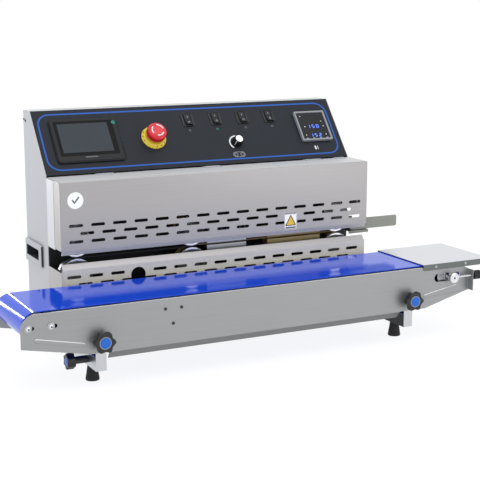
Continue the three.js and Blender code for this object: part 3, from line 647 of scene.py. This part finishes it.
def step_in(piece, margin, rise):
    """Insets the largest face that looks up by a margin and moves it, in millimetres."""
    top = max((f for f in piece.data.polygons if f.normal.z > 0.9), key=lambda f: f.area).index
    choose(piece, "FACE", lambda face: face.index == top)
    bpy.ops.mesh.inset(thickness=margin * MM)
    if rise:
        bpy.ops.transform.translate(value=(0, 0, rise * MM))
    bpy.ops.object.mode_set(mode="OBJECT")


terminal = round_uprights(block("terminal", (30, 23.5, 0.3), (169, 123.5, 2.6)), 8)
step_in(terminal, 3.2, 2.2)
step_in(terminal, 3.6, 0.0)
step_in(terminal, 0.5, -0.5)
terminal = ease(terminal, 0.3)
fit(terminal, screen_black, "cabinet", PANEL, ["hmi_unit"])
inner_black = Finish("terminal_inner", "08090b", 0.5, Specular_IOR_Level=0.15)
inner_black.grain(1400, 0.02, 0.3, 2.0)
surround = plate("terminal_surround", rectangle(38.5, 159, 38, 118), 0.12, 2.5)
fit(surround, inner_black, "cabinet", PANEL @ spot(0, 0, 4.3))
glass = plate("terminal_screen", rectangle(45, 147.5, 45, 111), 0.25, 0.6)
fit(glass, screen_glass, "cabinet", PANEL @ spot(0, 0, 4.38))
fit(plate("terminal_mark", rectangle(86, 112, 33, 35.5), 0.1, 1.0), grey_ink, "cabinet",
    PANEL @ spot(0, 0, 4.35))
fit(round_plate("terminal_dot", 4.2, 0.2), green_ink, "cabinet", PANEL @ spot(161, 110, 4.75))

# ---- emergency stop -----------------------------------------------------------------------------
# A red mushroom head on a black stem, over a yellow collar. The head is pressed down, latches, and is
# turned in the sense of its three white arrows to let it go.
red = Finish("stop_red", "cc1228", 0.3, Coat_Weight=0.15)
red.mottle(300, 0.93, 1.05)
red.grain(1500, 0.01, 0.3, 2.0)
yellow = Finish("stop_yellow", "e2c63c", 0.4)
yellow.mottle(200, 0.9, 1.06)
yellow.grain(1200, 0.02, 0.3, 2.0)
STOP = PANEL @ spot(238.5, 71, 0)

collar = turned("stop_collar", [(12, 0.3), (25.6, 0.3), (25.6, 2.2), (25, 3), (21.4, 7.4), (20.6, 8),
                                (12, 8), (12, 0.3)], 64, solid=False)
fit(collar, yellow, "cabinet", STOP, ["estop_collar"])
notch = ease(block("notch", (-0.9, 21.9, 3.2), (0.9, 24.2, 6)), 0.2)
marks = [turn(60 + 120 * third + 24 * step) for third in range(3) for step in range(3)]
fit(copies(notch, marks, "collar_marks"), grey_ink, "cabinet", STOP)
shell("estop_plunger", gloss_black, 0.4)
head = turned("stop_head", [(17, 14), (18.5, 14), (19.6, 14.8), (20, 16.5), (20, 22.5), (19.7, 24.4),
                            (18.7, 26.4), (17.2, 27.8), (15, 28.8), (11, 29.6), (6, 30), (1.5, 30.1)], 64)
fit(head, red, "estop_head", STOP, ["estop_head"])


def arc(name, radius, width, start, sweep, thickness, steps=14):
    """A flat arc on XY, as a printed mark."""
    angles = [math.radians(start + sweep * k / steps) for k in range(steps + 1)]
    rings = [(radius + width / 2, angles), (radius - width / 2, angles[::-1])]
    return plate(name, [(r * math.cos(a), r * math.sin(a)) for r, run in rings for a in run], thickness)


arrow = arc("arrow", 12, 2.2, 15, 78, 0.35)
arrows = copies(arrow, [turn(120 * k) for k in range(3)], "stop_arrows")
fit(arrows, white_ink, "estop_head", STOP @ spot(0, 0, 29.3))

# ---- rocker switches ----------------------------------------------------------------------------
# Four rockers in gloss black sit in one row of bezels. Each has a line and a ring on it for on and
# off, and a small printed sign below.
ROCKERS, ROCKER_ROW = (324.5, 386.5, 448.5, 510.5), 109.5
HALF_LEAN = math.degrees(math.atan2(1.8, 13))     # each half of a rocker leans away from its middle
shell("switch_bank", screen_black, 0.35)
bezel = plate("rocker_bezel", rectangle(-13, 13, -15.8, 15.8), 1.1, 1.6, 4)
fit(copies(bezel, [spot(x - 1, ROCKER_ROW, 0) for x in ROCKERS], "rocker_bezels"), gloss_black, "cabinet",
    PANEL)
mark_ink = Finish("rocker_ink", "9da0a5", 0.5)
mark_ink.mottle(600, 0.9, 1.1)
for number, x in enumerate(ROCKERS, 1):
    body = "rocker_%d" % number
    shell(body, gloss_black, 0.5, 3)
    rocker = PANEL @ spot(x, ROCKER_ROW, 1.4) @ turn(-8, "X")
    for sign, mark in ((1, plate(body + "_on", rectangle(-0.5, 0.5, -2, 2), 0.12)),
                       (-1, round_plate(body + "_off", 2.1, 0.12, 0.8, 24))):
        place = rocker @ spot(0, sign * 6.5, 0.75) @ turn(sign * HALF_LEAN, "X")
        fit(mark, mark_ink, body, place)
for x, ink in ((322, grey_ink), (384, green_ink), (449, grey_ink), (511, grey_ink)):
    sign = plate("sign_%d" % x, rectangle(-2.4, 2.4, -2.2, 2.2), 0.1, 1.2, 1.1)
    fit(sign, ink, "cabinet", PANEL @ spot(x, 84.5, 0))

# ---- speed knob ---------------------------------------------------------------------------------
# A fluted black knob with a spun aluminium cap turns over a white dial. The sign under it shows two
# rollers joined by a belt.
SPEED = PANEL @ spot(417, 49.5, 0)
spun = Finish("spun_cap", "e6e8ec", 0.22, 1.0)
spun.mottle(90, 0.85, 1.08)


def flute(piece, every, pick, factor):
    """Draws lines up the side of a turned piece in towards its axis, one in every so many."""
    points = piece.data.vertices
    choose(piece, "EDGE", lambda edge: all(i % every == 0 and pick(points[i].co) for i in edge.vertices))
    bpy.ops.transform.resize(value=(factor, factor, 1), center_override=(0, 0, 0))
    bpy.ops.object.mode_set(mode="OBJECT")


knob = turned("speed_grip", [(3, -10), (3, 1), (10.9, 1), (10.9, 3), (10.2, 12.6), (9.3, 14.2),
                             (8.4, 14.6)], 60)
flute(knob, 3, lambda point: point.z > 2.5 * MM and point.xy.length > 8 * MM, 0.93)
fit(knob, screen_black, "speed_knob", SPEED, ["speed_knob"])
cap = turned("speed_cap", [(7.6, 14.4), (7.6, 15.1), (7.2, 15.4), (5, 15.45), (4.8, 15.2), (1, 15.2)])
fit(cap, spun, "speed_knob", SPEED)
pointer = ease(block("speed_pointer", (-0.6, 8.2, 3), (0.6, 11, 14.2)), 0.2)
fit(pointer, white_ink, "speed_knob", SPEED @ turn(130))
fit(arc("speed_dial", 15.5, 3, 70, 160, 0.12, 24), white_ink, "cabinet", SPEED)
for x in (-7, 7):
    ring = round_plate("belt_sign_%d" % (x + 7), 4.2, 0.12, 1.0, 32)
    fit(ring, mark_ink, "cabinet", PANEL @ spot(414 + x, 21, 0))
fit(plate("belt_sign_run", rectangle(400.5, 427.5, 14.8, 27.2), 0.1, 6, 0.9), mark_ink, "cabinet",
    PANEL)

# ---- temperature controller ---------------------------------------------------------------------
# A panel instrument in a grey frame: behind its dark window two rows of blue digits show the set and
# the measured temperature, with four soft keys below.
frame_grey = Finish("instrument_grey", "8a8e96", 0.45)
frame_grey.mottle(300, 0.92, 1.06)
frame_grey.grain(1300, 0.02, 0.3, 2.0)
window = Finish("instrument_window", "15171b", 0.3, Specular_IOR_Level=0.25)
window.mottle(40, 0.9, 1.12)
glow = Finish("blue_digits", "3f68e8", 0.4, Emission_Color=(*hex_color("6a90ff"), 1), Emission_Strength=0.9)
glow.mottle(800, 0.9, 1.1)
METER = PANEL @ spot(604.5, 77, 0)

meter = block("instrument", (-36, -36, 0.3), (36, 36, 7))
step_in(meter, 3.2, 0.0)
step_in(meter, 0.3, -1.4)
meter = ease(round_uprights(meter, 1.5), 0.25)
mark_faces(meter, lambda face: (                       # the sunk face is the dark window
    face.normal.z > 0.9 and face.center.z < 6 * MM and face.center.xy.length < 30 * MM))
fit(meter, frame_grey, "cabinet", METER, ["temp_controller"], also=[window])

SEGMENTS = {"0": "abcdef", "1": "bc", "2": "abged", "5": "afgcd"}
BARS = {"a": (0, 3.6, 0), "b": (2.3, 1.8, 90), "c": (2.3, -1.8, 90), "d": (0, -3.6, 0),
        "e": (-2.3, -1.8, 90), "f": (-2.3, 1.8, 90), "g": (0, 0, 0)}
FIRST_DIGIT, DIGIT_PITCH = -11.5, 10.5
bars = []
for row, text in ((-2, "150"), (-24, "152")):
    for place, digit in enumerate(text):
        for x, y, angle in (BARS[s] for s in SEGMENTS[digit]):
            bars.append(spot(FIRST_DIGIT + DIGIT_PITCH * place + x, row + y, 5.7) @ turn(angle))
bar = plate("bar", [(1.8, 0), (1.2, 0.75), (-1.2, 0.75), (-1.8, 0), (-1.2, -0.75), (1.2, -0.75)], 0.15)
fit(copies(bar, bars, "instrument_digits"), glow, "cabinet", METER)
key = ease(block("key", (-2.6, -1.4, 5.55), (2.6, 1.4, 6.3)), 0.3)
fit(copies(key, [spot(x, -31.5, 0) for x in (-24, -8, 8, 24)], "instrument_keys"), frame_grey, "cabinet",
    METER)
lamp = turned("lamp", [(1.1, 5.55), (1.1, 5.9), (0.6, 6.1)], 16)
lamp_spots = [spot(x, y, 0) for x, y in ((-24, 24), (-21, -2), (24, -2), (22, 10), (-24, -23), (24, -23))]
fit(copies(lamp, lamp_spots, "instrument_lamps"), white_ink, "cabinet", METER)
for name, left, right, radius in (("meter_sign", 593.5, 597, 0.6), ("meter_sign_bar", 600, 601.2, 0.3)):
    meter_sign = plate(name, rectangle(left, right, 21.5, 30), 0.1, radius)
    fit(meter_sign, white_ink, "cabinet", PANEL)

# ---- sealing mechanism --------------------------------------------------------------------------
# Polished wheels in two rows drive rubber guide belts and, over the brass heaters, brown non-stick
# bands. Finned aluminium blocks cool the seal, and the motor stands behind the wall.
chrome = Finish("polished_wheel", "e8eaee", 0.12, 1.0)
chrome.mottle(70, 0.8, 1.06)
chrome.scuff(300, 0.08, 0.14)
guide_rubber = Finish("guide_rubber", "16171a", 0.6)
guide_rubber.mottle(300, 0.8, 1.3)
guide_rubber.grain(900, 0.06, 0.5)
band_cloth = Finish("band_cloth", "8c7648", 0.5)
band_cloth.mottle((1600, 200, 1600), 0.8, 1.15, 2.0)
band_cloth.grain(1600, 0.05, 0.5, 2.0)
brass = brushed("heater_brass", "958662", 0.45, contrast=0.2, metallic=0.7)
cast = brushed("cooler_alloy", "b4b7bb", 0.4, contrast=0.1)
motor_paint = Finish("motor_paint", "3a3d42", 0.45, 0.3)
motor_paint.grain(700, 0.05, 0.4)
for level in ("upper", "lower"):
    for place in ("outfeed", "middle", "infeed"):
        shell("wheel_%s_%s" % (place, level), chrome, 0.5)
    shell("guide_belt_" + level, guide_rubber, 0.2)
    shell("seal_band_" + level, band_cloth, 0.1, 1)
    shell("heater_" + level, brass, 0.5)
    shell("cooler_" + level, cast, 0.4)
shell("drive_motor", motor_paint, 1.2, 3)

# Two folded plates, painted a warm grey, lead the bag mouth in.
lead_paint = Finish("lead_in_paint", "8d8f86", 0.4, 0.3)
lead_paint.mottle(160, 0.92, 1.06)
lead_paint.grain(900, 0.03, 0.3, 2.0)
shell("inlet_guide", lead_paint, 0.5)

# ---- conveyor -----------------------------------------------------------------------------------
# A bed of satin steel between two side plates with ribs pressed into their tapering ends. A glossy
# blue belt runs over it round two rollers. A screw on each side draws the tail axle back.
plate_satin = brushed("plate_satin", "9c9d9e", 0.42, along=0, contrast=0.12, metallic=0.8)
# painted shade for the fold that looks down
fold_painted_shade = brushed("fold_painted_shade", "7c7e7e", 0.45, along=0, contrast=0.1)
# painted highlight for the hem and the upper side of the rib
hem_and_rib_highlight = brushed("hem_and_rib_highlight", "f4f5f6", 0.5, along=0, contrast=0.04, metallic=0.3)
bed_steel = brushed("bed_steel", "c6c7c9", 0.3, along=0)
roller_steel = brushed("roller_steel", "b4b6b8", 0.35, along=1)
belt_blue = Finish("belt_blue", "1848cf", 0.1, Specular_IOR_Level=0.3)
belt_blue.mottle((40, 12, 40), 0.94, 1.06)
belt_blue.scuff(60, 0.05, 0.07)
belt_blue.grain(16, 0.2, 0.12, 1.0)
BELT_TOP = 144.5
AXLE_X, AXLE_HEIGHT = 750, 121
ROLLER_BOLTS = (-121, -80.6)


def plate_finish(face):
    """The hem on top and the upper side of the rib get a painted highlight, and the fold below a painted
    shade.
    """
    up, height = face.normal.z, face.center.z / MM
    rib = abs(face.normal.x) < 0.5 and face.normal.y < -0.05 and height < 110 and up > 0.1
    if rib or up > 0.6 and height > 144:
        return 1
    return 2 if up < -0.2 and 40 < height < 62 else 0


for side in ("near", "far"):
    side_plate = shell("conveyor_plate_" + side, plate_satin, 0.5,
                       also=[hem_and_rib_highlight, fold_painted_shade])
    mark_faces(side_plate, plate_finish)
shell("bed_plate", bed_steel, 0.3)
shell("conveyor_belt", belt_blue, 0.4)
seal = block("belt_gap_shade", (-92, -174.6, 144.8), (704, -172, 146.4))     # a black strip along each hem, painted shade for the gap between belt and hem
fit(copies(seal, [spot(0, y, 0) for y in (0, 154.6)], "belt_gap_shades"), gloss_black, "conveyor", BENCH)
shell("outfeed_roller", roller_steel, 0.8)
shell("tail_roller", roller_steel, 0.8)
shell("tail_axle", chrome, 0.8)
tray_steel = brushed("tray_steel", "dbdde2", 0.34, along=1, contrast=0.06)
# a darker steel for the tray's faces that look to the front: painted shade
tray_front_painted_shade = brushed("tray_front_painted_shade", "6f7372", 0.4, along=0, contrast=0.1)
tray = shell("tray", tray_steel, 0.35, also=[tray_front_painted_shade])
mark_faces(tray, lambda face: face.normal.y < -0.8)
shell("conveyor_motor", motor_paint, 1.0, 3)

# Screws in the side plates: three hold the motor, and on each side two chromed ones with washers hold
# the roller and a dished nut closes the end of the tail axle.
motor_spots = [spot(x, -177, z, "front") for x, z in ((131, 126.6), (162.4, 126.7), (146, 98.8))]
fit(copies(screw_head(3, 1.5), motor_spots, "motor_screws"), dark_zinc, "conveyor", BENCH)
for side, corner, y, out in (("front", 0, -177, -1), ("back", 1, -15, 1)):
    bolts = [spot(x, y, AXLE_HEIGHT, side) for x in ROLLER_BOLTS]
    washer = turned("washer", [(6.6, 0), (6.6, 1.2), (6.2, 1.5), (4.6, 1.6)], 32)
    fit(copies(washer, bolts, "washers_" + side), zinc, "conveyor", BENCH)
    dome = turned("dome", [(4.4, 1.5), (4.3, 2.6), (3.5, 4), (2, 4.9), (0.8, 5.1)], 32)
    fit(copies(dome, bolts, "dome_screws_" + side), chrome, "conveyor", BENCH)
    # a dark disc on each dome: painted shade for its socket
    socket = turned("socket", [(1.7, 4.4), (1.7, 5.25), (0.5, 5.3)], 24)
    fit(copies(socket, bolts, "dome_socket_shades_" + side), dark_zinc, "conveyor", BENCH)
    axle_end = (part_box("tail_axle")[corner].y - BENCH.translation.y) / MM
    hub = BENCH @ spot(AXLE_X, axle_end - out * 3.8, AXLE_HEIGHT, side)
    nut = turned("axle_nut_" + side, [(5, 0), (10.4, 0), (10.8, 1.2), (10.2, 3.4), (8, 4.2), (7.2, 3.8),
                                      (7, 2.6)])
    fit(nut, chrome, "tail_axle", hub)
    well = turned("nut_well_" + side, [(7.3, 2.4), (7.3, 3.1), (1.5, 3.9), (0.8, 3.95)], 32)
    fit(well, dark_zinc, "tail_axle", hub)
    flange = (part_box("tray")[corner].y - BENCH.translation.y) / MM
    fit(copies(screw_head(2.6, 1.0), [spot(x, flange, BELT_TOP, side) for x in (715, 787)],
               "tray_screws_" + side), zinc, "conveyor", BENCH)

# The tension screws: a thin rod with a knurled black knob on its end.
rod_steel = brushed("rod_steel", "c0c2c6", 0.25, along=1)
for side in ("near", "far"):
    low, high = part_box("takeup_screw_" + side)
    middle = (low + high) / 2
    axis = Matrix.Translation((low.x, middle.y, middle.z)) @ FACING["right"]
    rod = ease(turned("takeup_rod_" + side, [(2.5, 0), (2.5, 62)], 24), 0.3)
    fit(rod, rod_steel, "takeup_screw_" + side, axis)
    grip = turned("takeup_knob_" + side, [(5, 60.5), (8.4, 60.5), (9, 61.2), (9, 77.2), (8.4, 78),
                                          (3, 78)], 72)
    flute(grip, 2, lambda point: point.xy.length > 8.8 * MM, 0.95)
    fit(grip, gloss_black, "takeup_screw_" + side, axis, ["takeup_screw_" + side])

# ---- rails and feet -----------------------------------------------------------------------------
# Two channels of folded steel slide under the cabinet and carry the conveyor on uprights. Cones of
# black rubber stand under their front ends and under the back of the cabinet.
rail_steel = brushed("rail_steel", "c3c5c9", 0.33, along=1)
rubber = Finish("foot_rubber", "151516", 0.8)
rubber.mottle(200, 0.8, 1.4)
rubber.grain(800, 0.1, 0.5)
# painted shade for the right rail's web
rail_shade = brushed("rail_web_painted_shade", "3a3c3e", 0.5, along=1)
for side in ("left", "right"):
    rail = shell("rail_" + side, rail_steel, 0.4, also=[rail_shade])
    if side == "right":                                # this one's web faces away from the light, so it is painted dark as shade
        mark_faces(rail, lambda face: face.normal.x < -0.8)
    shell("front_foot_" + side, rubber, 0.8, 3)
    shell("rear_foot_" + side, rubber, 0.8, 3)

# ---- star knobs ---------------------------------------------------------------------------------
# Moulded six-lobed knobs on steel studs clamp the conveyor's height and reach. Each has a blue cap
# pressed into a ring in its face.
cap_blue = Finish("cap_blue", "1560c4", 0.35, Specular_IOR_Level=0.35)
cap_blue.mottle(300, 0.92, 1.06)
knob_black = Finish("knob_black", "17181b", 0.42)
knob_black.scuff(300, 0.36, 0.16)
knob_black.grain(1100, 0.03, 0.4, 2.0)


def star_outline(radius, steps=96):
    """Six rounded lobes about a circle."""
    angles = [2 * math.pi * k / steps for k in range(steps)]
    reaches = [radius * (0.9 + 0.1 * math.cos(6 * a)) for a in angles]
    return [(r * math.cos(a), r * math.sin(a)) for r, a in zip(reaches, angles)]


for name, facing, radius, thickness, reach in (("front_left", "front", 20, 12.5, 16),
                                               ("front_right", "front", 20, 12.5, 16),
                                               ("side", "left", 15, 15, 26)):
    node = "star_knob_" + name
    low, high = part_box(node)
    face = (low + high) / 2
    axis = 1 if facing == "front" else 0
    face[axis] = low[axis]
    place = Matrix.Translation(face) @ FACING[facing]
    star = plate(node + "_grip", star_outline(radius), thickness)
    star.data.transform(spot(0, 0, -thickness))
    step_in(star, radius * 0.16, 0.0)
    star = ease(star, 2.2, 4)
    cut_away(star, turned("cutter", [(radius * 0.58, -1.6), (radius * 0.58, 2)]))
    smooth(star, 42)
    fit(star, knob_black, node, place, [node])
    neck = turned(node + "_neck", [(radius * 0.45, -thickness - reach + 0.5),
                                   (radius * 0.45, -thickness + 1)], 32)
    fit(ease(neck, 0.5), knob_black, node, place)
    ring = turned(node + "_ring", [(radius * 0.48, -1.55), (radius * 0.56, -1.55), (radius * 0.56, -0.5),
                                   (radius * 0.54, -0.3), (radius * 0.49, -0.3), (radius * 0.48, -0.5),
                                   (radius * 0.48, -1.55)], solid=False)
    fit(ring, frame_grey, node, place)
    cap = turned(node + "_cap", [(radius * 0.47, -1.55), (radius * 0.47, -0.4), (radius * 0.44, -0.15),
                                 (1, -0.1)])
    fit(cap, cap_blue, node, place)
